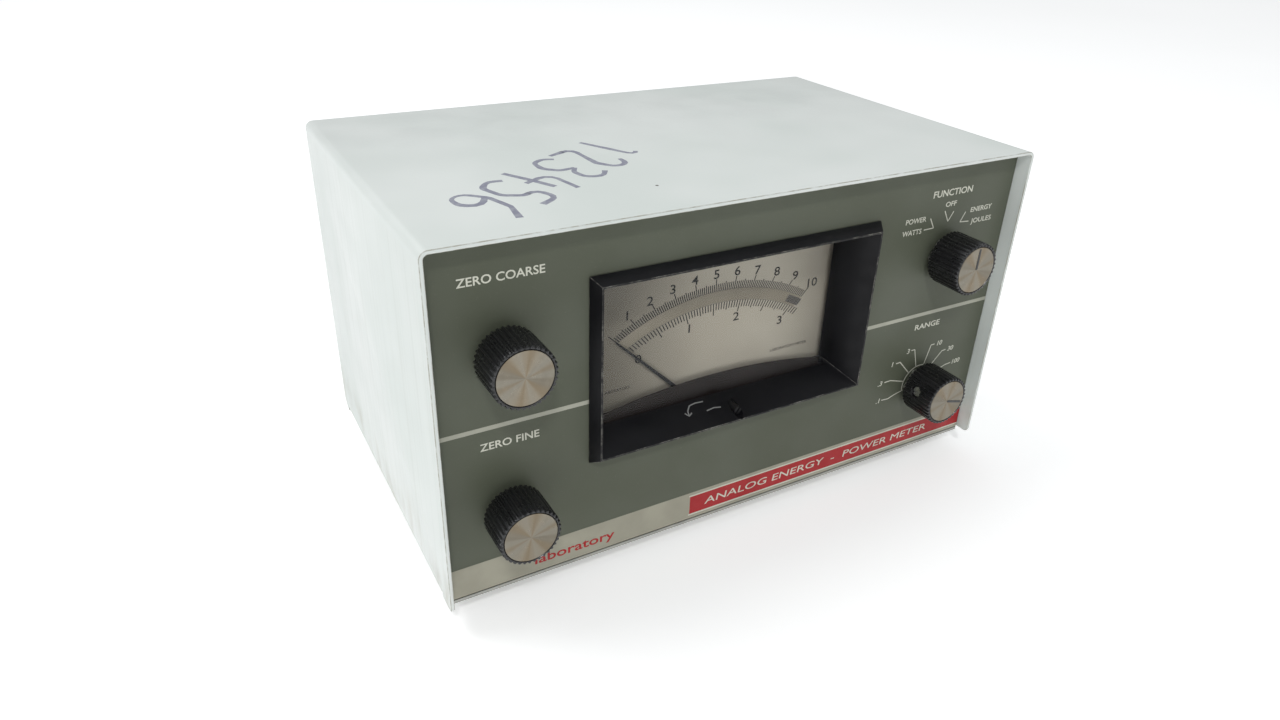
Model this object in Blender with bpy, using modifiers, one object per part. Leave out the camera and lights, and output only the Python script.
"""Bench laser energy and power meter: a folded cover over a chassis, four knobs and a wide moving-coil meter.

Lengths below are in millimetres. x runs to the right, y runs back from the cover's front edge and z runs up
from the lower edge of the cover's side walls, until place() moves a point to the part's own frame in metres.
"""

import math

import bmesh
import bpy
from mathutils import Matrix, Vector

MM = 0.001
GAP = 0.3  # left between faces that touch on the real object
FIT = 0.15  # left round a piece that fills its hole

# Cabinet
CASE_WIDTH = 216.0
CASE_DEPTH = 131.0
CASE_HEIGHT = 115.3
SHEET = 1.2
BEND_RADIUS = 2.6
COVER_FLANGE = 34.0
COVER_FLANGE_BEND = 1.8
TIP_RADIUS = 1.6
HEEL_RADIUS = 5.0
CHASSIS_SHEET = 1.2
CHASSIS_TOP_CLEARANCE = 2.5
FOOT_HEIGHT = 7.0
FOOT_RADIUS = 6.6
FOOT_BORE = 2.1
FOOT_COUNTERBORE = 3.9
FOOT_INSET_X = 22.0
FOOT_INSET_Y = 26.0
SCREW_RADIUS = 1.6

# Panel
PANEL_RECESS = 5.3
PANEL_THICKNESS = 2.0
PANEL_SIDE_CLEARANCE = 0.4
PANEL_TOP_CLEARANCE = 0.6

# Controls
LEFT_KNOBS_X = -86.0
RIGHT_KNOBS_X = 77.9
UPPER_KNOBS_Z = 80.4
LOWER_KNOBS_Z = 28.2
KNOB_RADIUS = 9.4
KNOB_LENGTH = 13.4
KNOB_STANDOFF = 2.3
KNOB_FLUTES = 36
FLUTE_DEPTH = 0.5
INSERT_RADIUS = 8.15
INSERT_THICKNESS = 0.5
SHAFT_RADIUS = 3.17
SHAFT_IN_KNOB = 9.5
SHAFT_IN_BODY = 6.0
BUSHING_RADIUS = 4.6
NUT_THICKNESS = 1.5
NUT_RADIUS = 7.2
POT_RADIUS = 12.0
POT_DEPTH = 11.0
SWITCH_RADIUS = 14.0
SWITCH_DEPTH = 7.0
WAFER_RADIUS = 16.0
WAFER_THICKNESS = 1.6
WAFER_PITCH = 7.0
SET_SCREW_RADIUS = 1.9
SET_SCREW_LENGTH = 4.6
SET_SCREW_HEIGHT = 5.6

# Meter
METER_X = -7.45
METER_Z = 66.95
BEZEL_WIDTH = 106.0
BEZEL_HEIGHT = 62.1
BEZEL_BEVEL = 2.2
RIM_DEPTH = 1.0  # the rim's place behind the cover's front edge
RIM_WALL = 0.5
FUNNEL_SLOPE = 0.41
BEZEL_LAP = 1.2
BEZEL_BACK = 16.2
DIAL_FACE = 17.9
DIAL_THICKNESS = 0.6
DIAL_BOTTOM = 43.2
POINTER_PLANE = 16.9
POINTER_THICKNESS = 0.3
POINTER_LENGTH = 52.6
POINTER_TAIL = 8.0
POINTER_PLAY = 0.5
PIVOT_Z = 31.7
ZERO_ANGLE = -46.0  # the pointer at rest, clockwise from straight up
MASK_FACE = 15.5
MASK_THICKNESS = 0.5
MASK_CREST = 48.5
MASK_FOOT = 38.6
MASK_ARCH_RADIUS = 218.0
GLASS_THICKNESS = 0.9
GLASS_LOW_FACE = 10.9
GLASS_TOP_FACE = 14.6
ZERO_SCREW_OFFSET = 1.0
ZERO_SCREW_Z = 40.2
ZERO_SCREW_RADIUS = 1.4
ZERO_POCKET_FACE = 12.4
ZERO_ARM_THICKNESS = 0.5
ZERO_PIN_RADIUS = 0.5
ZERO_PIN_THROW = 0.5
METER_WALL = 1.8
METER_CASE_BACK = 42.0
YOKE_RADIUS = 14.0
YOKE_BORE = 9.4
YOKE_FRONT = 19.0
YOKE_LENGTH = 12.0
CORE_RADIUS = 6.4
COIL_INSIDE = 7.1
COIL_OUTSIDE = 8.6
COIL_BREADTH = 3.0
BRIDGE_THICKNESS = 1.0
BRIDGE_HEIGHT = 5.0
SEAT_SUNK = 0.25
PIVOT_RADIUS = 0.8
TERMINAL_SPREAD = 15.0
TERMINAL_RADIUS = 2.4
TERMINAL_OUT = 11.0
CASE_LUG = 7.0
DIAL_POST_INSET = 7.0

# Inside the cabinet and on its back
BOARD_SIZE = (130.0, 62.0)
BOARD_THICKNESS = 1.6
BOARD_X = 30.0
BOARD_Z = 28.0
BOARD_TO_BACK = 9.0
BRACKET_FLANGE = 9.0
TRANSFORMER_FROM_WALL = 49.0
TRANSFORMER_SIZE = (42.0, 36.0, 36.0)
TRANSFORMER_TO_BACK = 8.0
CAPACITOR_RADIUS = 10.0
CAPACITOR_HEIGHT = 30.0
REAR_ROW_Z = 76.0
INLET_X = -78.0
INLET_SIZE = (28.0, 22.0)
INLET_CAVITY = (20.0, 14.0, 12.0)
INLET_DEPTH = 16.0
FUSE_X = -42.0
FUSE_RADIUS = 6.2
FUSE_DEPTH = 28.0
FUSE_CAP_LENGTH = 10.0
SOCKET_X = 58.0
SOCKET_RADIUS = 8.4
SOCKET_WALL = 1.4
SOCKET_LENGTH = 8.0
SOCKET_DEPTH = 12.0

# Places that follow from the sizes above
PANEL_FACE = PANEL_RECESS
PANEL_BACK = PANEL_FACE + PANEL_THICKNESS
SUB_PANEL_FACE = PANEL_BACK + GAP
SUB_PANEL_BACK = SUB_PANEL_FACE + CHASSIS_SHEET
CHASSIS_BOTTOM = -GAP - 0.1 - CHASSIS_SHEET
CHASSIS_FLOOR = CHASSIS_BOTTOM + CHASSIS_SHEET
CHASSIS_HALF_WIDTH = CASE_WIDTH / 2 - SHEET - PANEL_SIDE_CLEARANCE
REAR_FACE = CASE_DEPTH - PANEL_RECESS
REAR_INSIDE = REAR_FACE - CHASSIS_SHEET
WALL_TOP = CASE_HEIGHT - SHEET - CHASSIS_TOP_CLEARANCE
KNOB_BASE = PANEL_FACE - KNOB_STANDOFF
KNOB_FRONT = KNOB_BASE - KNOB_LENGTH
BODY_FACE = SUB_PANEL_BACK + GAP
BEZEL_BASE = PANEL_FACE - GAP
CASE_FRONT = SUB_PANEL_BACK + GAP
FLOOR = CHASSIS_BOTTOM - GAP - FOOT_HEIGHT
TRANSFORMER_X = TRANSFORMER_FROM_WALL - CASE_WIDTH / 2
MIDDLE = (KNOB_FRONT + REAR_FACE + FUSE_CAP_LENGTH) / 2

KNOBS = {
    "zero_coarse": (LEFT_KNOBS_X, UPPER_KNOBS_Z, 0.0),
    "zero_fine": (LEFT_KNOBS_X, LOWER_KNOBS_Z, 40.0),
    "function": (RIGHT_KNOBS_X, UPPER_KNOBS_Z, 0.0),
    "range": (RIGHT_KNOBS_X, LOWER_KNOBS_Z, 105.0),
}

STEPS = 24
TO_FRONT = Matrix.Rotation(math.radians(90), 4, "X")  # turns local z to the front and local y up


def place(x, y, z):
    return Vector((x, y - MIDDLE, z - FLOOR)) * MM


# Scene, materials and objects


def clear_scene():
    for old in list(bpy.data.objects):
        bpy.data.objects.remove(old)


def new_collection(name):
    made = bpy.data.collections.new(name)
    bpy.context.scene.collection.children.link(made)
    return made


def material(name, colour, roughness, metallic=0.0, alpha=1.0):
    made = bpy.data.materials.new(name)
    made.use_nodes = True
    shader = made.node_tree.nodes["Principled BSDF"]
    shader.inputs["Base Color"].default_value = (*colour, 1)
    shader.inputs["Roughness"].default_value = roughness
    shader.inputs["Metallic"].default_value = metallic
    shader.inputs["Alpha"].default_value = alpha
    return made


clear_scene()
PARTS = new_collection("bench_energy_meter")
CUTTERS = new_collection("cutters")
WHITE = material("white_enamel", (0.72, 0.74, 0.70), 0.45)
OLIVE = material("olive_enamel", (0.12, 0.13, 0.10), 0.5)
ZINC = material("zinc_steel", (0.55, 0.55, 0.52), 0.4, 1.0)
BLACK = material("black_plastic", (0.015, 0.015, 0.018), 0.35)
ALUMINIUM = material("spun_aluminium", (0.75, 0.73, 0.68), 0.25, 1.0)
BRASS = material("brass", (0.70, 0.52, 0.25), 0.3, 1.0)
STEEL = material("bright_steel", (0.60, 0.60, 0.62), 0.25, 1.0)
RUBBER = material("black_rubber", (0.02, 0.02, 0.02), 0.85)
GLASS = material("clear_acrylic", (0.9, 0.93, 0.92), 0.05, 0.0, 0.2)
CREAM = material("dial_paint", (0.62, 0.58, 0.48), 0.6)
BROWN = material("brown_plastic", (0.03, 0.022, 0.018), 0.5)
IRON = material("soft_iron", (0.25, 0.25, 0.26), 0.5, 1.0)
COPPER = material("enamelled_copper", (0.45, 0.16, 0.06), 0.35, 1.0)
GREEN = material("circuit_board", (0.05, 0.16, 0.07), 0.5)
GREY = material("grey_sleeve", (0.30, 0.32, 0.36), 0.5)


def add_object(name, mesh, finish, smooth=False):
    made = bpy.data.objects.new(name, mesh)
    if smooth:
        mesh.shade_smooth()
        mesh.set_sharp_from_angle(angle=math.radians(35))
    if finish is None:
        CUTTERS.objects.link(made)
        made.hide_render = True
        made.display_type = "WIRE"
    else:
        PARTS.objects.link(made)
        mesh.materials.append(finish)
    return made


def to_mesh(bm, name):
    bmesh.ops.recalc_face_normals(bm, faces=bm.faces)
    mesh = bpy.data.meshes.new(name)
    bm.to_mesh(mesh)
    bm.free()
    return mesh


def add_box(bm, xs, ys, zs):
    """A cube from bmesh, stretched to the three ranges."""
    low, high = place(xs[0], ys[0], zs[0]), place(xs[1], ys[1], zs[1])
    size = Matrix.Diagonal((*(high - low), 1))
    bmesh.ops.create_cube(bm, size=1, matrix=Matrix.Translation((low + high) / 2) @ size)


def boxes(name, ranges, finish=None):
    bm = bmesh.new()
    for xs, ys, zs in ranges:
        add_box(bm, xs, ys, zs)
    return add_object(name, to_mesh(bm, name), finish)


def add_rod(bm, x, z, ys, radius, segments=STEPS, turn=0.0):
    """A cylinder along y."""
    centre = place(x, (ys[0] + ys[1]) / 2, z)
    spin = Matrix.Rotation(math.radians(turn), 4, "Z")
    bmesh.ops.create_cone(
        bm,
        cap_ends=True,
        segments=segments,
        radius1=radius * MM,
        radius2=radius * MM,
        depth=(ys[1] - ys[0]) * MM,
        matrix=Matrix.Translation(centre) @ TO_FRONT @ spin,
    )


def rods(name, rows, finish=None):
    bm = bmesh.new()
    for x, z, ys, radius in rows:
        add_rod(bm, x, z, ys, radius)
    return add_object(name, to_mesh(bm, name), finish, smooth=finish is not None)


def cut(target, cutter, operation="DIFFERENCE"):
    boolean = target.modifiers.new(cutter.name, "BOOLEAN")
    boolean.operation = operation
    boolean.solver = "EXACT"
    boolean.object = cutter
    return target


def turned(name, profile, spot, finish, upright=False, steps=STEPS):
    """A profile of (radius, height) points swept round. Height runs to the front, or up when upright."""
    bm = bmesh.new()
    points = [bm.verts.new((r * MM, 0, h * MM)) for r, h in profile]
    for one, other in zip(points, points[1:]):
        bm.edges.new((one, other))
    if profile[0][0] > 0:
        bm.edges.new((points[-1], points[0]))
    mesh = bpy.data.meshes.new(name)
    bm.to_mesh(mesh)
    bm.free()
    made = add_object(name, mesh, finish)
    screw = made.modifiers.new("turn", "SCREW")
    screw.steps = screw.render_steps = steps
    screw.use_merge_vertices = True
    screw.merge_threshold = 0.00001
    screw.use_smooth_shade = False
    made.location = place(*spot)
    if not upright:
        made.rotation_euler = TO_FRONT.to_euler()
    return made


def extruded(name, outline, ys, finish):
    """A flat outline of (x, z) points, made thick along y."""
    bm = bmesh.new()
    face = bm.faces.new([bm.verts.new(place(x, ys[0], z)) for x, z in outline])
    grown = bmesh.ops.extrude_face_region(bm, geom=[face])
    moved = [item for item in grown["geom"] if isinstance(item, bmesh.types.BMVert)]
    bmesh.ops.translate(bm, verts=moved, vec=(0, (ys[1] - ys[0]) * MM, 0))
    return add_object(name, to_mesh(bm, name), finish)


def arc(centre, radius, start, end, count):
    """Points of an arc, with angles in degrees from the first axis towards the second."""
    turns = [math.radians(start + (end - start) * i / count) for i in range(count + 1)]
    return [(centre[0] + radius * math.cos(t), centre[1] + radius * math.sin(t)) for t in turns]


# Cabinet


def folded_cover():
    """Half of the wrapped sheet as an open surface. Mirror makes the other half and Solidify the sheet."""
    half, top = CASE_WIDTH / 2, CASE_HEIGHT
    flange_ys = (SUB_PANEL_BACK + GAP, REAR_INSIDE - GAP)
    relief = 1.0
    bm = bmesh.new()

    def strip(profile, ys):
        rows = [[bm.verts.new(place(x, y, z)) for y in ys] for x, z in profile]
        for one, other in zip(rows, rows[1:]):
            bm.faces.new((one[0], one[1], other[1], other[0]))

    bend = arc((half - BEND_RADIUS, top - BEND_RADIUS), BEND_RADIUS, 90, 0, 6)
    strip([(0, top)] + bend, (0, CASE_DEPTH))
    fold = COVER_FLANGE_BEND
    lower = arc((half - fold, fold), fold, 0, -90, 3)
    strip(lower + [(half - COVER_FLANGE, 0)], flange_ys)
    front = arc((TIP_RADIUS, TIP_RADIUS), TIP_RADIUS, 180, 270, 3)
    rear = arc((CASE_DEPTH - HEEL_RADIUS, HEEL_RADIUS), HEEL_RADIUS, 270, 360, 5)
    notch = [
        (flange_ys[0] - relief, 0),
        (flange_ys[0] - relief, fold),
        (flange_ys[0], fold),
        (flange_ys[1], fold),
        (flange_ys[1] + relief, fold),
        (flange_ys[1] + relief, 0),
    ]
    side = [(0, top - BEND_RADIUS)] + front + notch + rear + [(CASE_DEPTH, top - BEND_RADIUS)]
    bm.faces.new([bm.verts.new(place(half, y, z)) for y, z in side])
    bmesh.ops.remove_doubles(bm, verts=bm.verts, dist=0.00001)
    cover = add_object("cover", to_mesh(bm, "cover"), WHITE)
    mirror = cover.modifiers.new("other_half", "MIRROR")
    mirror.merge_threshold = 0.00001
    solid = cover.modifiers.new("sheet", "SOLIDIFY")
    solid.thickness = SHEET * MM
    solid.offset = -1
    solid.use_even_offset = True
    return cut(cover, upright_rods("cover_foot_holes", foot_spots(), (-SHEET, 3 * SHEET), FOOT_BORE))


def foot_spots():
    x = CASE_WIDTH / 2 - FOOT_INSET_X
    return [(side * x, y) for side in (-1, 1) for y in (FOOT_INSET_Y, CASE_DEPTH - FOOT_INSET_Y)]


def upright_rods(name, spots, zs, radius):
    bm = bmesh.new()
    for x, y in spots:
        centre = Matrix.Translation(place(x, y, (zs[0] + zs[1]) / 2))
        depth = (zs[1] - zs[0]) * MM
        size = {"radius1": radius * MM, "radius2": radius * MM, "depth": depth}
        bmesh.ops.create_cone(bm, cap_ends=True, segments=STEPS, matrix=centre, **size)
    return add_object(name, to_mesh(bm, name), None)


def control_spots():
    return [(x, z) for x, z, angle in KNOBS.values()]


def window_range(clearance):
    """The x and z ranges of the opening that the bezel's plug passes through."""
    half_x = BEZEL_WIDTH / 2 - BEZEL_LAP - GAP + clearance
    half_z = BEZEL_HEIGHT / 2 - BEZEL_LAP - GAP + clearance
    return (METER_X - half_x, METER_X + half_x), (METER_Z - half_z, METER_Z + half_z)


def panel_cutters(prefix, ys):
    """Cutters for the four bushings and the meter, through a plate that lies between ys."""
    reach = (ys[0] - 1, ys[1] + 1)
    holes = rods(prefix + "_bushing_holes", [(x, z, reach, BUSHING_RADIUS + GAP) for x, z in control_spots()])
    xs, zs = window_range(GAP)
    window = boxes(prefix + "_window", [(xs, reach, zs)])
    return holes, window


def front_panel():
    half = CASE_WIDTH / 2 - SHEET - PANEL_SIDE_CLEARANCE
    ys = (PANEL_FACE, PANEL_BACK)
    zs = (CHASSIS_FLOOR + GAP, CASE_HEIGHT - SHEET - PANEL_TOP_CLEARANCE)
    panel = boxes("front_panel", [((-half, half), ys, zs)], OLIVE)
    for cutter in panel_cutters("front_panel", ys):
        cut(panel, cutter)


def chassis():
    """A floor that shows as a thin lip under the panel, with the sub-panel and the rear wall welded to it."""
    side = (-CHASSIS_HALF_WIDTH, CHASSIS_HALF_WIDTH)
    floor_zs = (CHASSIS_BOTTOM, CHASSIS_FLOOR)
    wall_zs = (CHASSIS_BOTTOM + CHASSIS_SHEET / 2, WALL_TOP)
    tray = boxes("chassis", [(side, (PANEL_FACE, REAR_FACE), floor_zs)], ZINC)
    sub_panel_ys = (SUB_PANEL_FACE, SUB_PANEL_BACK)
    rear_ys = (REAR_INSIDE, REAR_FACE)
    cut(tray, boxes("chassis_sub_panel", [(side, sub_panel_ys, wall_zs)]), "UNION")
    cut(tray, boxes("chassis_rear_wall", [(side, rear_ys, wall_zs)]), "UNION")
    for cutter in panel_cutters("sub_panel", sub_panel_ys):
        cut(tray, cutter)
    reach = (rear_ys[0] - 1, rear_ys[1] + 1)
    round_holes = [
        (FUSE_X, REAR_ROW_Z, reach, FUSE_RADIUS + GAP),
        (SOCKET_X, REAR_ROW_Z, reach, SOCKET_RADIUS - SOCKET_WALL + GAP),
    ]
    cut(tray, rods("rear_round_holes", round_holes))
    inlet_xs, inlet_zs = inlet_body_range(GAP)
    cut(tray, boxes("rear_inlet_hole", [(inlet_xs, reach, inlet_zs)]))
    lug_reach = (SUB_PANEL_FACE - 1, SUB_PANEL_BACK + 1)
    lug_holes = [(x, z, lug_reach, SCREW_RADIUS + GAP) for x, z in lug_spots()]
    cut(tray, rods("sub_panel_lug_holes", lug_holes))
    floor_reach = (CHASSIS_BOTTOM - 1, CHASSIS_FLOOR + 1)
    cut(tray, upright_rods("chassis_foot_holes", foot_spots(), floor_reach, FOOT_BORE))


def feet():
    """Rubber feet, each with its own screw and nut through the chassis floor and the cover's flange."""
    top = FOOT_HEIGHT
    shoulder = top - 3.0
    foot = [
        (FOOT_BORE, top),
        (FOOT_RADIUS, top),
        (FOOT_RADIUS - 0.6, 0.4),
        (FOOT_RADIUS - 1.0, 0),
        (FOOT_COUNTERBORE, 0),
        (FOOT_COUNTERBORE, shoulder),
        (FOOT_BORE, shoulder),
    ]
    seat = shoulder - GAP
    nut_low = FOOT_HEIGHT + GAP - CHASSIS_BOTTOM + SHEET + GAP
    screw = [
        (0, nut_low + 4.0),
        (SCREW_RADIUS, nut_low + 4.0),
        (SCREW_RADIUS, nut_low + 2.4),
        (2 * SCREW_RADIUS, nut_low + 2.4),
        (2 * SCREW_RADIUS, nut_low),
        (SCREW_RADIUS, nut_low),
        (SCREW_RADIUS, seat),
        (3.0, seat),
        (3.0, seat - 1.6),
        (0, seat - 1.6),
    ]
    for number, (x, y) in enumerate(foot_spots(), 1):
        turned(f"foot_{number}", foot, (x, y, FLOOR), RUBBER, upright=True, steps=20)
        turned(f"foot_screw_{number}", screw, (x, y, FLOOR), STEEL, upright=True, steps=12)


# Controls


def fluted_outline():
    """One land and one groove for each flute."""
    pitch = 2 * math.pi / KNOB_FLUTES
    points = []
    for number in range(KNOB_FLUTES):
        for share, radius in (
            (0.0, KNOB_RADIUS),
            (0.45, KNOB_RADIUS),
            (0.72, KNOB_RADIUS - FLUTE_DEPTH),
        ):
            turn = (number + share) * pitch
            points.append((radius * math.cos(turn), radius * math.sin(turn)))
    return points


def local_prism(name, outline, zs, finish, spot):
    """An outline of local (x, y) points, made thick along local z, on an object whose z faces the front."""
    bm = bmesh.new()
    face = bm.faces.new([bm.verts.new((x * MM, y * MM, zs[0] * MM)) for x, y in outline])
    grown = bmesh.ops.extrude_face_region(bm, geom=[face])
    moved = [item for item in grown["geom"] if isinstance(item, bmesh.types.BMVert)]
    bmesh.ops.translate(bm, verts=moved, vec=(0, 0, (zs[1] - zs[0]) * MM))
    made = add_object(name, to_mesh(bm, name), finish)
    made.location = place(*spot)
    made.rotation_euler = TO_FRONT.to_euler()
    return made


def radial_rod(name, spot, pointer_angle, ends, radius, finish=None):
    """A cylinder on the knob's radius opposite its pointer line, SET_SCREW_HEIGHT above the base."""
    away = math.radians(pointer_angle + 180)
    out = Vector((math.sin(away), math.cos(away), 0))
    bm = bmesh.new()
    middle = Vector((0, 0, SET_SCREW_HEIGHT)) + out * (ends[0] + ends[1]) / 2
    bmesh.ops.create_cone(
        bm,
        cap_ends=True,
        segments=20,
        radius1=radius * MM,
        radius2=radius * MM,
        depth=(ends[1] - ends[0]) * MM,
        matrix=Matrix.Translation(middle * MM) @ out.to_track_quat("Z", "Y").to_matrix().to_4x4(),
    )
    made = add_object(name, to_mesh(bm, name), finish)
    made.location = place(*spot)
    made.rotation_euler = TO_FRONT.to_euler()
    return made


def knob(name, x, z, pointer_angle):
    """A fluted knob with its spun disc, its set screw and the shaft that it drives."""
    spot = (x, KNOB_BASE, z)
    body = local_prism(name + "_knob", fluted_outline(), (0, KNOB_LENGTH), BLACK, spot)
    floor = KNOB_LENGTH - INSERT_THICKNESS - GAP
    core = [
        (0, KNOB_LENGTH + 1),
        (INSERT_RADIUS + FIT, KNOB_LENGTH + 1),
        (INSERT_RADIUS + FIT, floor),
        (0, floor),
    ]
    cut(body, turned(name + "_disc_recess", core, spot, None, steps=36))
    bore_radius, bore_top = SHAFT_RADIUS + FIT, SHAFT_IN_KNOB + GAP
    bore = [(0, bore_top), (bore_radius, bore_top), (bore_radius, -1), (0, -1)]
    cut(body, turned(name + "_bore", bore, spot, None, steps=24))
    screw_ends = (SHAFT_RADIUS + GAP, SHAFT_RADIUS + GAP + SET_SCREW_LENGTH)
    hole_ends, hole_radius = (1.0, KNOB_RADIUS + 1), SET_SCREW_RADIUS + GAP
    cut(body, radial_rod(name + "_screw_hole", spot, pointer_angle, hole_ends, hole_radius))
    radial_rod(name + "_set_screw", spot, pointer_angle, screw_ends, SET_SCREW_RADIUS, STEEL)
    disc = [
        (0, KNOB_LENGTH),
        (INSERT_RADIUS - 0.2, KNOB_LENGTH),
        (INSERT_RADIUS, KNOB_LENGTH - 0.2),
        (INSERT_RADIUS, floor + GAP),
        (0, floor + GAP),
    ]
    turned(name + "_disc", disc, spot, ALUMINIUM, steps=36)
    tail = KNOB_BASE - BODY_FACE - SHAFT_IN_BODY
    shaft = [(0, SHAFT_IN_KNOB), (SHAFT_RADIUS, SHAFT_IN_KNOB), (SHAFT_RADIUS, tail), (0, tail)]
    turned(name + "_shaft", shaft, spot, BRASS, steps=24)


def bushing_profile(rest):
    """The threaded bushing with its blind bore, followed by the body's own points."""
    front = BODY_FACE - KNOB_BASE - GAP
    floor = -SHAFT_IN_BODY - GAP
    bore = SHAFT_RADIUS + FIT
    return [(0, floor), (bore, floor), (bore, front), (BUSHING_RADIUS, front), (BUSHING_RADIUS, 0)] + rest


def control_bodies():
    pot = [(POT_RADIUS, 0), (POT_RADIUS, -POT_DEPTH), (0, -POT_DEPTH)]
    wafers = []
    for number in range(2):
        high = -SWITCH_DEPTH - WAFER_PITCH * (number + 1) + WAFER_PITCH * 0.3
        wafers += [
            (BUSHING_RADIUS, high),
            (WAFER_RADIUS, high),
            (WAFER_RADIUS, high - WAFER_THICKNESS),
            (BUSHING_RADIUS, high - WAFER_THICKNESS),
        ]
    hub = [(SWITCH_RADIUS, 0), (SWITCH_RADIUS, -SWITCH_DEPTH), (BUSHING_RADIUS, -SWITCH_DEPTH)]
    switch = hub + wafers + [(0, wafers[-1][1])]
    bodies = {
        "zero_coarse": ("zero_coarse_potentiometer", pot),
        "zero_fine": ("zero_fine_potentiometer", pot),
        "function": ("function_switch", switch),
        "range": ("range_switch", switch),
    }
    for name, (x, z, angle) in KNOBS.items():
        label, rest = bodies[name]
        turned(label, bushing_profile(rest), (x, BODY_FACE, z), GREY, steps=20)
        hexagon = arc((0, 0), NUT_RADIUS, 0, 300, 5)
        low = GAP
        nut = local_prism(name + "_nut", hexagon, (low, low + NUT_THICKNESS), ZINC, (x, PANEL_FACE, z))
        bore = [
            (0, low + NUT_THICKNESS + 1),
            (BUSHING_RADIUS + GAP, low + NUT_THICKNESS + 1),
            (BUSHING_RADIUS + GAP, low - 1),
            (0, low - 1),
        ]
        cut(nut, turned(name + "_nut_bore", bore, (x, PANEL_FACE, z), None, steps=24))


# Meter


def rectangle(half_x, half_z):
    return [(-half_x, -half_z), (half_x, -half_z), (half_x, half_z), (-half_x, half_z)]


def ring_loft(name, rings, finish):
    """A frame lofted through rectangles, given as (half width, half height, y), back to the first one."""
    bm = bmesh.new()
    rows = []
    for half_x, half_z, y in rings:
        rows.append([bm.verts.new(place(METER_X + x, y, METER_Z + z)) for x, z in rectangle(half_x, half_z)])
    for one, other in zip(rows, rows[1:] + rows[:1]):
        for i in range(4):
            j = (i + 1) % 4
            bm.faces.new((one[i], one[j], other[j], other[i]))
    return add_object(name, to_mesh(bm, name), finish)


def funnel_half(y):
    """Half width and half height of the window's slanted walls at depth y."""
    inset = BEZEL_BEVEL + RIM_WALL + FUNNEL_SLOPE * (y - RIM_DEPTH)
    return BEZEL_WIDTH / 2 - inset, BEZEL_HEIGHT / 2 - inset


def zero_screw_x():
    return METER_X + ZERO_SCREW_OFFSET


def meter_bezel():
    lap = BEZEL_LAP + GAP
    half_x, half_z = BEZEL_WIDTH / 2, BEZEL_HEIGHT / 2
    rings = [
        (*funnel_half(RIM_DEPTH), RIM_DEPTH),
        (half_x - BEZEL_BEVEL, half_z - BEZEL_BEVEL, RIM_DEPTH),
        (half_x, half_z, BEZEL_BASE),
        (half_x - lap, half_z - lap, BEZEL_BASE),
        (half_x - lap, half_z - lap, BEZEL_BACK),
        (*funnel_half(BEZEL_BACK), BEZEL_BACK),
    ]
    bezel = ring_loft("meter_bezel", rings, BLACK)
    hole = (zero_screw_x(), ZERO_SCREW_Z, (-2.0, ZERO_POCKET_FACE + 1), ZERO_SCREW_RADIUS + GAP)
    cut(bezel, rods("zero_screw_hole", [hole]))
    low = METER_Z - half_z
    half_pocket = funnel_half(BEZEL_BACK)[0]
    pocket_top = METER_Z - funnel_half(BEZEL_BACK)[1] + 1
    pocket_xs = (METER_X - half_pocket, METER_X + half_pocket)
    pocket = (pocket_xs, (ZERO_POCKET_FACE, BEZEL_BACK + 1), (low, pocket_top))
    cut(bezel, boxes("zero_arm_pocket", [pocket]))


def meter_glass():
    """A clear plate that leans back between the slanted walls, its edges parallel to them."""
    lean = (GLASS_TOP_FACE - GLASS_LOW_FACE) / BEZEL_HEIGHT
    bm = bmesh.new()
    rows = []
    for step in (0, GLASS_THICKNESS):
        row = []
        for side_x, side_z in ((-1, -1), (1, -1), (1, 1), (-1, 1)):
            y = (GLASS_LOW_FACE + GLASS_TOP_FACE) / 2 + step
            for _ in range(8):
                z = side_z * (funnel_half(y)[1] - GAP)
                y = (GLASS_LOW_FACE + GLASS_TOP_FACE) / 2 + step + lean * z
            row.append(bm.verts.new(place(METER_X + side_x * (funnel_half(y)[0] - GAP), y, METER_Z + z)))
        rows.append(row)
    front, back = rows
    bm.faces.new(front)
    bm.faces.new(back)
    for i in range(4):
        j = (i + 1) % 4
        bm.faces.new((front[i], front[j], back[j], back[i]))
    return add_object("meter_glass", to_mesh(bm, "meter_glass"), GLASS)


def meter_mask():
    """A strip with an arched upper edge across the foot of the dial, behind the bezel's lower slope."""
    half = funnel_half(BEZEL_BACK)[0] - GAP
    half_turn = math.degrees(math.asin(half / MASK_ARCH_RADIUS))
    centre = (METER_X, MASK_CREST - MASK_ARCH_RADIUS)
    crest = arc(centre, MASK_ARCH_RADIUS, 90 - half_turn, 90 + half_turn, 16)
    foot = [(METER_X - half, MASK_FOOT), (METER_X + half, MASK_FOOT)]
    extruded("meter_mask", crest + foot, (MASK_FACE, MASK_FACE + MASK_THICKNESS), BROWN)


def case_half():
    """Half width of the meter's rear case, and its z range."""
    half_x = BEZEL_WIDTH / 2 + METER_WALL
    return half_x, (PIVOT_Z - YOKE_RADIUS - METER_WALL - 2 * GAP, METER_Z + BEZEL_HEIGHT / 2 + 1)


def lug_spots():
    half_x, _ = case_half()
    return [(METER_X + side * (half_x + CASE_LUG / 2), METER_Z) for side in (-1, 1)]


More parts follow.
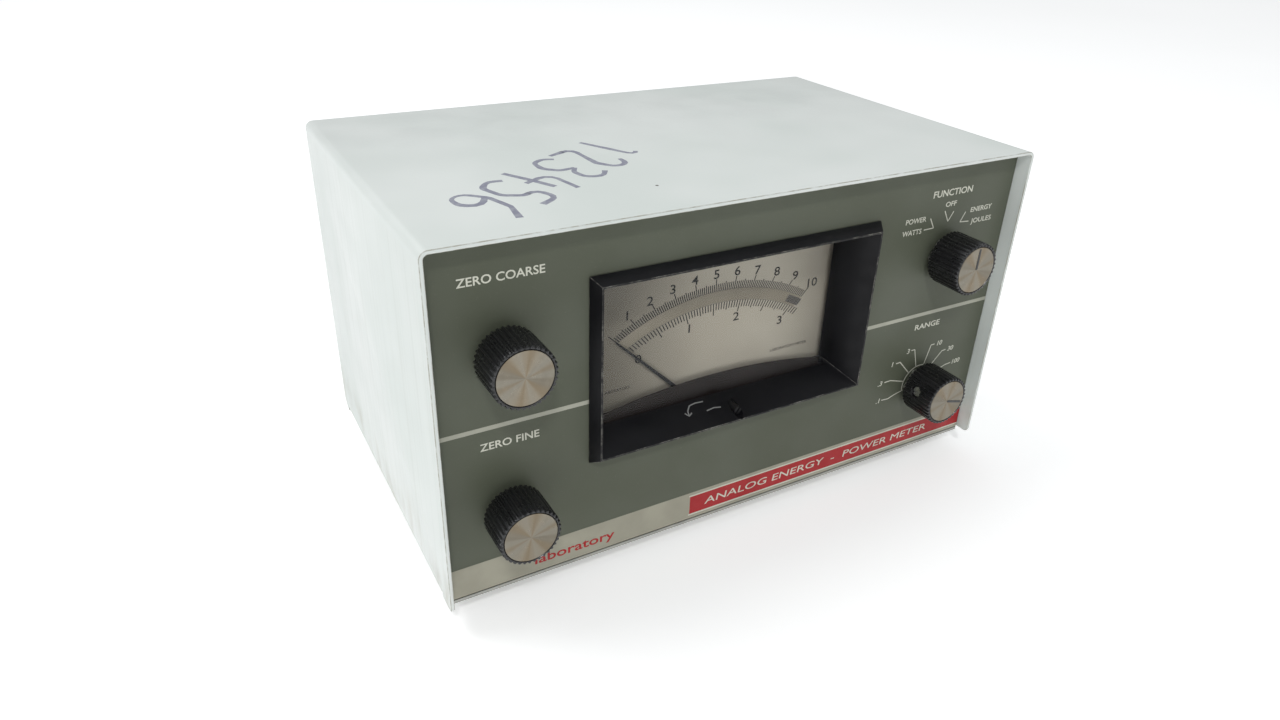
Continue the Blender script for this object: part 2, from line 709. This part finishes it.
def meter_case():
    """The rear case, open to the front, with posts inside for the dial and a lug on each side."""
    half_x, zs = case_half()
    outside = (METER_X - half_x, METER_X + half_x)
    ys = (CASE_FRONT, METER_CASE_BACK)
    case = boxes("meter_case", [(outside, ys, zs)], BLACK)
    inner_xs = (outside[0] + METER_WALL, outside[1] - METER_WALL)
    inner_zs = (zs[0] + METER_WALL, zs[1] - METER_WALL)
    cut(case, boxes("meter_case_inside", [(inner_xs, (ys[0] - 1, ys[1] - METER_WALL), inner_zs)]))
    lugs = []
    for side, (x, z) in zip((-1, 1), lug_spots()):
        half = CASE_LUG / 2
        lug_xs = sorted((x + side * half, x - side * (half + 1)))
        lugs.append((lug_xs, (ys[0], ys[0] + 2 * METER_WALL), (z - half, z + half)))
    cut(case, boxes("meter_case_lugs", lugs), "UNION")
    post_ys = (DIAL_FACE + DIAL_THICKNESS + GAP, ys[1] - 0.5)
    post_spread = BEZEL_WIDTH / 2 - DIAL_POST_INSET
    posts = [(METER_X + side * post_spread, METER_Z + 4, post_ys, 3.0) for side in (-1, 1)]
    rear_bridge_back = YOKE_FRONT + YOKE_LENGTH + 2 * GAP + BRIDGE_THICKNESS + 1.0
    posts.append((METER_X, PIVOT_Z - 10.5, (rear_bridge_back + GAP, ys[1] - 0.5), 2.5))
    cut(case, rods("meter_case_posts", posts), "UNION")
    lug_reach = (ys[0] - 1, ys[0] + 10)
    cut(case, rods("lug_holes", [(x, z, lug_reach, SCREW_RADIUS + GAP) for x, z in lug_spots()]))
    wall_reach = (ys[1] - 2 * METER_WALL, ys[1] + 1)
    terminal_holes = [(x, METER_Z, wall_reach, TERMINAL_RADIUS + GAP) for x in terminal_xs()]
    cut(case, rods("terminal_holes", terminal_holes))


def terminal_xs():
    return [METER_X - TERMINAL_SPREAD, METER_X + TERMINAL_SPREAD]


def meter_dial():
    half_x = BEZEL_WIDTH / 2 - 4
    ys = (DIAL_FACE, DIAL_FACE + DIAL_THICKNESS)
    zs = (DIAL_BOTTOM, METER_Z + BEZEL_HEIGHT / 2 - 3)
    boxes("meter_dial", [((METER_X - half_x, METER_X + half_x), ys, zs)], CREAM)


def annulus(inner, outer, front, back):
    """A ring's profile, for turned(), with depths counted back from the object's own spot."""
    return [(inner, -front), (outer, -front), (outer, -back), (inner, -back)]


def movement():
    """The yoke, the core with its two webs, and a bridge at each end that carries the pivots."""
    axis = (METER_X, YOKE_FRONT, PIVOT_Z)
    turned("magnet_yoke", annulus(YOKE_BORE, YOKE_RADIUS, 0, YOKE_LENGTH), axis, IRON, steps=36)
    core_ys = (YOKE_FRONT, YOKE_FRONT + YOKE_LENGTH)
    core = rods("iron_core", [(METER_X, PIVOT_Z, core_ys, CORE_RADIUS)], STEEL)
    web_half = YOKE_BORE - GAP
    web = ((METER_X - 1.5, METER_X + 1.5), core_ys, (PIVOT_Z - web_half, PIVOT_Z + web_half))
    cut(core, boxes("iron_core_webs", [web]), "UNION")
    bore = (METER_X, PIVOT_Z, (core_ys[0] - 1, core_ys[1] + 1), PIVOT_RADIUS + 2 * GAP)
    cut(core, rods("iron_core_bore", [bore]))
    front = POINTER_PLANE - POINTER_THICKNESS - POINTER_PLAY
    back = YOKE_FRONT + YOKE_LENGTH + 2.0
    made = bridge("front_bridge", (front - BRIDGE_THICKNESS, front), (front, YOKE_FRONT - GAP))
    seat = front - BRIDGE_THICKNESS
    collar = (METER_X, PIVOT_Z, (arm_ys()[1] + GAP, seat + SEAT_SUNK), 2 * PIVOT_RADIUS)
    post = (METER_X, PIVOT_Z, (arm_ys()[0] - GAP, seat), PIVOT_RADIUS)
    cut(made, rods("jewel_collar", [collar]), "UNION")
    cut(made, rods("jewel_post", [post]), "UNION")
    bridge("rear_bridge", (back, back + BRIDGE_THICKNESS), (YOKE_FRONT + YOKE_LENGTH + GAP, back))


def bridge(name, bar_ys, leg_ys):
    """A bar across the yoke with a leg at each end and a hole for the pivot."""
    reach = YOKE_RADIUS - 0.5
    zs = (PIVOT_Z - BRIDGE_HEIGHT / 2, PIVOT_Z + BRIDGE_HEIGHT / 2)
    made = boxes(name, [((METER_X - reach, METER_X + reach), bar_ys, zs)], BRASS)
    legs = []
    for side in (-1, 1):
        xs = sorted((METER_X + side * reach, METER_X + side * (reach - 2.2)))
        overlap = 0.4
        ys = (leg_ys[0] - overlap, leg_ys[1]) if name == "front_bridge" else (leg_ys[0], leg_ys[1] + overlap)
        legs.append((xs, ys, (zs[0] + 0.5, zs[1] - 0.5)))
    cut(made, boxes(name + "_legs", legs), "UNION")
    hole = (METER_X, PIVOT_Z, (bar_ys[0] - 1, bar_ys[1] + 1), PIVOT_RADIUS + GAP)
    cut(made, rods(name + "_hole", [hole]))
    return made


def local_boxes(name, ranges, finish=None):
    bm = bmesh.new()
    for xs, ys, zs in ranges:
        low, high = Vector((xs[0], ys[0], zs[0])) * MM, Vector((xs[1], ys[1], zs[1])) * MM
        matrix = Matrix.Translation((low + high) / 2) @ Matrix.Diagonal((*(high - low), 1))
        bmesh.ops.create_cube(bm, size=1, matrix=matrix)
    return add_object(name, to_mesh(bm, name), finish)


def local_rods(name, rows, finish=None):
    """Cylinders along local z, given as (x, y, (low, high), radius)."""
    bm = bmesh.new()
    for x, y, zs, radius in rows:
        spot = Vector((x, y, (zs[0] + zs[1]) / 2)) * MM
        bmesh.ops.create_cone(
            bm,
            cap_ends=True,
            segments=16,
            radius1=radius * MM,
            radius2=radius * MM,
            depth=(zs[1] - zs[0]) * MM,
            matrix=Matrix.Translation(spot),
        )
    return add_object(name, to_mesh(bm, name), finish)


def put_with(helper, spot, turn):
    """Gives a cutter the same place and turn as the piece that it shapes."""
    helper.location = place(*spot)
    helper.rotation_euler = (TO_FRONT @ Matrix.Rotation(math.radians(-turn), 4, "Z")).to_euler()
    return helper


def pointer_and_coil():
    """Both are drawn pointing straight up about the pivot, then turned to the scale's zero."""
    spot = (METER_X, POINTER_PLANE, PIVOT_Z)
    half = POINTER_THICKNESS / 2
    root, tip = 0.9, 0.3
    tail = -POINTER_TAIL
    right_side = [(tip, POINTER_LENGTH), (root, 0), (root, tail)]
    blade = [(-x, y) for x, y in reversed(right_side)] + right_side
    pointer = local_prism("meter_pointer", blade, (-half, half), BLACK, spot)
    put_with(pointer, spot, ZERO_ANGLE)
    hub = local_rods("pointer_hub", [(0, 0, (-half - 0.1, half + 0.1), 2.2)])
    cut(pointer, put_with(hub, spot, ZERO_ANGLE), "UNION")
    hole = local_rods("pointer_hub_hole", [(0, 0, (-1, 1), PIVOT_RADIUS + FIT)])
    cut(pointer, put_with(hole, spot, ZERO_ANGLE))
    front = POINTER_PLANE - YOKE_FRONT + 0.6
    back = front - YOKE_LENGTH - 1.2
    bar = (COIL_OUTSIDE - COIL_INSIDE) * 0.5
    breadth = (-COIL_BREADTH / 2, COIL_BREADTH / 2)
    outside = ((-COIL_OUTSIDE, COIL_OUTSIDE), breadth, (back - bar, front + bar))
    coil = local_boxes("moving_coil", [outside], COPPER)
    window = ((-COIL_INSIDE, COIL_INSIDE), (-COIL_BREADTH, COIL_BREADTH), (back, front))
    cut(put_with(coil, spot, ZERO_ANGLE), put_with(local_boxes("coil_window", [window]), spot, ZERO_ANGLE))
    pivots = [
        (0, 0, (front + bar / 2, half + POINTER_PLAY + BRIDGE_THICKNESS - GAP), PIVOT_RADIUS),
        (0, 0, (back - bar - 1.6, back - bar / 2), PIVOT_RADIUS),
    ]
    cut(coil, put_with(local_rods("coil_pivots", pivots), spot, ZERO_ANGLE), "UNION")


def arm_ys():
    """Front and back of the zero arm, just behind the pocket's face."""
    front = ZERO_POCKET_FACE + GAP + 0.2
    return front, front + ZERO_ARM_THICKNESS


def zero_adjuster():
    """A slotted screw whose off-centre pin swings a forked arm about the pointer's axis."""
    spot = (zero_screw_x(), ZERO_POCKET_FACE, ZERO_SCREW_Z)
    shank = ZERO_SCREW_RADIUS
    screw = turned("zero_screw", [(0, 8.6), (shank, 8.6), (shank, 0), (0, 0)], spot, BLACK, steps=24)
    slot = local_boxes("zero_screw_slot", [((-0.3, 0.3), (-shank - 1, shank + 1), (7.8, 9.6))])
    cut(screw, put_with(slot, spot, 35))
    arm_front, arm_back = (y - ZERO_POCKET_FACE for y in arm_ys())
    pin_end = arm_back + GAP
    pin = local_rods("zero_screw_pin", [(0, ZERO_PIN_THROW, (-pin_end, 0.5), ZERO_PIN_RADIUS)])
    cut(screw, put_with(pin, spot, 0), "UNION")
    axis = (METER_X, ZERO_POCKET_FACE, PIVOT_Z)
    reach = ZERO_SCREW_Z - PIVOT_Z + ZERO_PIN_THROW
    zs = (-arm_back, -arm_front)
    lean = ZERO_SCREW_OFFSET
    half_head = 1.9
    outline = [
        (-1.6, 0),
        (lean - half_head, reach - 2.2),
        (lean - half_head, reach + 1.6),
        (lean + half_head, reach + 1.6),
        (lean + half_head, reach - 2.2),
        (1.6, 0),
    ]
    arm = local_prism("zero_arm", outline, zs, BRASS, axis)
    eye = local_rods("zero_arm_eye", [(0, 0, (zs[0] - 0.05, zs[1] + 0.05), 2.6)])
    cut(arm, put_with(eye, axis, 0), "UNION")
    room = ZERO_PIN_RADIUS + GAP
    fork = ((lean - room, lean + room), (reach - 1.5, reach + 3), (-9, 9))
    cut(arm, put_with(local_boxes("zero_arm_fork", [fork]), axis, 0))
    hole = local_rods("zero_arm_hole", [(0, 0, (-9, 9), PIVOT_RADIUS + GAP)])
    cut(arm, put_with(hole, axis, 0))


def meter_fasteners():
    """A terminal stud with its nut and washer outside the case, and a screw through each lug."""
    head = 2 * TERMINAL_RADIUS
    for number, x in enumerate(terminal_xs(), 1):
        stud = [
            (0, METER_WALL + 3.0),
            (head, METER_WALL + 3.0),
            (head, METER_WALL + GAP),
            (TERMINAL_RADIUS, METER_WALL + GAP),
            (TERMINAL_RADIUS, -GAP),
            (head, -GAP),
            (head, -3.5),
            (TERMINAL_RADIUS, -3.5),
            (TERMINAL_RADIUS, -TERMINAL_OUT),
            (0, -TERMINAL_OUT),
        ]
        turned(f"meter_terminal_{number}", stud, (x, METER_CASE_BACK, METER_Z), BRASS, steps=12)
    for number, (x, z) in enumerate(lug_spots(), 1):
        seat = 2 * METER_WALL + GAP
        screw = [
            (0, CHASSIS_SHEET + GAP),
            (SCREW_RADIUS, CHASSIS_SHEET + GAP),
            (SCREW_RADIUS, -seat),
            (2 * SCREW_RADIUS, -seat),
            (2 * SCREW_RADIUS, -seat - 1.8),
            (0, -seat - 1.8),
        ]
        turned(f"meter_case_screw_{number}", screw, (x, CASE_FRONT, z), STEEL, steps=12)


# Inside and rear


def board_ranges():
    back = REAR_INSIDE - BOARD_TO_BACK
    half = BOARD_SIZE[0] / 2
    return (BOARD_X - half, BOARD_X + half), (back - BOARD_SIZE[1], back)


def circuit_board():
    """The board with its components soldered on, on two brackets."""
    xs, ys = board_ranges()
    top = BOARD_Z + BOARD_THICKNESS
    board = boxes("circuit_board", [(xs, ys, (BOARD_Z, top))], GREEN)
    parts = []
    sunk = 0.4
    for column in range(4):
        x = xs[0] + 20 + 27 * column
        parts.append(((x, x + 9.5), (ys[0] + 12, ys[0] + 18), (top - sunk, top + 3.5)))
        parts.append(((x + 2, x + 8), (ys[0] + 34, ys[0] + 50), (top - sunk, top + 9)))
        parts.append(((x + 13, x + 19), (ys[0] + 26, ys[0] + 29), (top - sunk, top + 2.4)))
    cut(board, boxes("board_components", parts), "UNION")
    can = (xs[1] - 2 * CAPACITOR_RADIUS, ys[1] - CAPACITOR_RADIUS - 3)
    can_zs = (top - sunk, top + CAPACITOR_HEIGHT)
    cut(board, upright_rods("filter_capacitor", [can], can_zs, CAPACITOR_RADIUS), "UNION")
    low = CHASSIS_FLOOR + GAP
    high = BOARD_Z - GAP
    inset = 12.0
    for name, x in (("left", xs[0] + inset), ("right", xs[1] - inset - BRACKET_FLANGE - 16)):
        outline = [
            (x, low),
            (x + BRACKET_FLANGE, low),
            (x + BRACKET_FLANGE, low + CHASSIS_SHEET),
            (x + CHASSIS_SHEET, low + CHASSIS_SHEET),
            (x + CHASSIS_SHEET, high - CHASSIS_SHEET),
            (x + BRACKET_FLANGE, high - CHASSIS_SHEET),
            (x + BRACKET_FLANGE, high),
            (x, high),
        ]
        extruded(f"board_bracket_{name}", outline, (ys[0] + 6, ys[1] - 6), ZINC)


def transformer():
    """A laminated core round a bobbin's winding."""
    wide, deep, high = TRANSFORMER_SIZE
    back = REAR_INSIDE - TRANSFORMER_TO_BACK
    low = SHEET + GAP
    xs = (TRANSFORMER_X - wide / 2, TRANSFORMER_X + wide / 2)
    stack = (back - deep / 2 - deep / 4, back - deep / 4)
    core = boxes("transformer_core", [(xs, stack, (low, low + high))], IRON)
    window = []
    for side in (-1, 1):
        inner = TRANSFORMER_X + side * wide / 6
        outer = TRANSFORMER_X + side * wide / 3
        window_zs = (low + high / 5, low + high * 4 / 5)
        window.append((sorted((inner, outer)), (back - deep - 1, back + 1), window_zs))
    cut(core, boxes("transformer_windows", window))
    coil_zs = (low + high / 5 + GAP, low + high * 4 / 5 - GAP)
    coil_xs = (TRANSFORMER_X - wide / 3 + GAP, TRANSFORMER_X + wide / 3 - GAP)
    coil = boxes("transformer_winding", [(coil_xs, (back - deep, back), coil_zs)], COPPER)
    leg_xs = (TRANSFORMER_X - wide / 6 - GAP, TRANSFORMER_X + wide / 6 + GAP)
    leg = (leg_xs, (stack[0] - GAP, stack[1] + GAP), (coil_zs[0] - 1, coil_zs[1] + 1))
    cut(coil, boxes("transformer_leg_space", [leg]))


def inlet_body_range(clearance):
    half_x = INLET_SIZE[0] / 2 - 2 + clearance
    half_z = INLET_SIZE[1] / 2 - 2 + clearance
    return (INLET_X - half_x, INLET_X + half_x), (REAR_ROW_Z - half_z, REAR_ROW_Z + half_z)


def rear_connectors():
    """The mains inlet, the fuse holder and the detector's socket, each through the rear wall."""
    xs, zs = inlet_body_range(0)
    face = REAR_FACE + GAP + 2.0
    half_x, half_z = INLET_SIZE[0] / 2, INLET_SIZE[1] / 2
    flange_xs = (INLET_X - half_x, INLET_X + half_x)
    flange_zs = (REAR_ROW_Z - half_z, REAR_ROW_Z + half_z)
    inlet = boxes("mains_inlet", [(flange_xs, (REAR_FACE + GAP, face), flange_zs)], BLACK)
    body = (xs, (REAR_INSIDE - INLET_DEPTH, REAR_FACE + GAP + 1), zs)
    cut(inlet, boxes("inlet_body", [body]), "UNION")
    wide, high, deep = INLET_CAVITY
    cavity_zs = (REAR_ROW_Z - high / 2, REAR_ROW_Z + high / 2)
    cavity_xs = (INLET_X - wide / 2, INLET_X + wide / 2)
    cut(inlet, boxes("inlet_cavity", [(cavity_xs, (face - deep, face + 1), cavity_zs)]))
    pins = []
    for x, z in ((-5.5, -1.5), (0, 2.5), (5.5, -1.5)):
        spot = (INLET_X + x, REAR_ROW_Z + z)
        pin_xs, pin_zs = (spot[0] - 0.8, spot[0] + 0.8), (spot[1] - 1.8, spot[1] + 1.8)
        pins.append((pin_xs, (face - deep - 0.5, face - 2), pin_zs))
    cut(inlet, boxes("inlet_pins", pins), "UNION")
    out = FUSE_CAP_LENGTH
    fuse = [
        (0, FUSE_DEPTH),
        (FUSE_RADIUS, FUSE_DEPTH),
        (FUSE_RADIUS, -GAP),
        (FUSE_RADIUS + 2, -GAP),
        (FUSE_RADIUS + 2, -GAP - 2.5),
        (FUSE_RADIUS, -GAP - 2.5),
        (FUSE_RADIUS, 1.0 - out),
        (FUSE_RADIUS - 1.0, -out),
        (0, -out),
    ]
    turned("fuse_holder", fuse, (FUSE_X, REAR_FACE, REAR_ROW_Z), BLACK, steps=24)
    inner = SOCKET_RADIUS - SOCKET_WALL
    socket = [
        (0, SOCKET_DEPTH),
        (inner, SOCKET_DEPTH),
        (inner, -GAP),
        (SOCKET_RADIUS + 3, -GAP),
        (SOCKET_RADIUS + 3, -GAP - 1.6),
        (SOCKET_RADIUS, -GAP - 1.6),
        (SOCKET_RADIUS, -SOCKET_LENGTH),
        (inner, -SOCKET_LENGTH),
        (inner, -1.0),
        (0, -1.0),
    ]
    turned("detector_socket", socket, (SOCKET_X, REAR_FACE, REAR_ROW_Z), ZINC, steps=24)


folded_cover()
chassis()
front_panel()
feet()
for label, (knob_x, knob_z, angle_at_rest) in KNOBS.items():
    knob(label, knob_x, knob_z, angle_at_rest)
control_bodies()
meter_bezel()
meter_glass()
meter_mask()
meter_dial()
meter_case()
meter_fasteners()
movement()
pointer_and_coil()
zero_adjuster()
circuit_board()
transformer()
rear_connectors()
print(len(PARTS.objects), "parts")
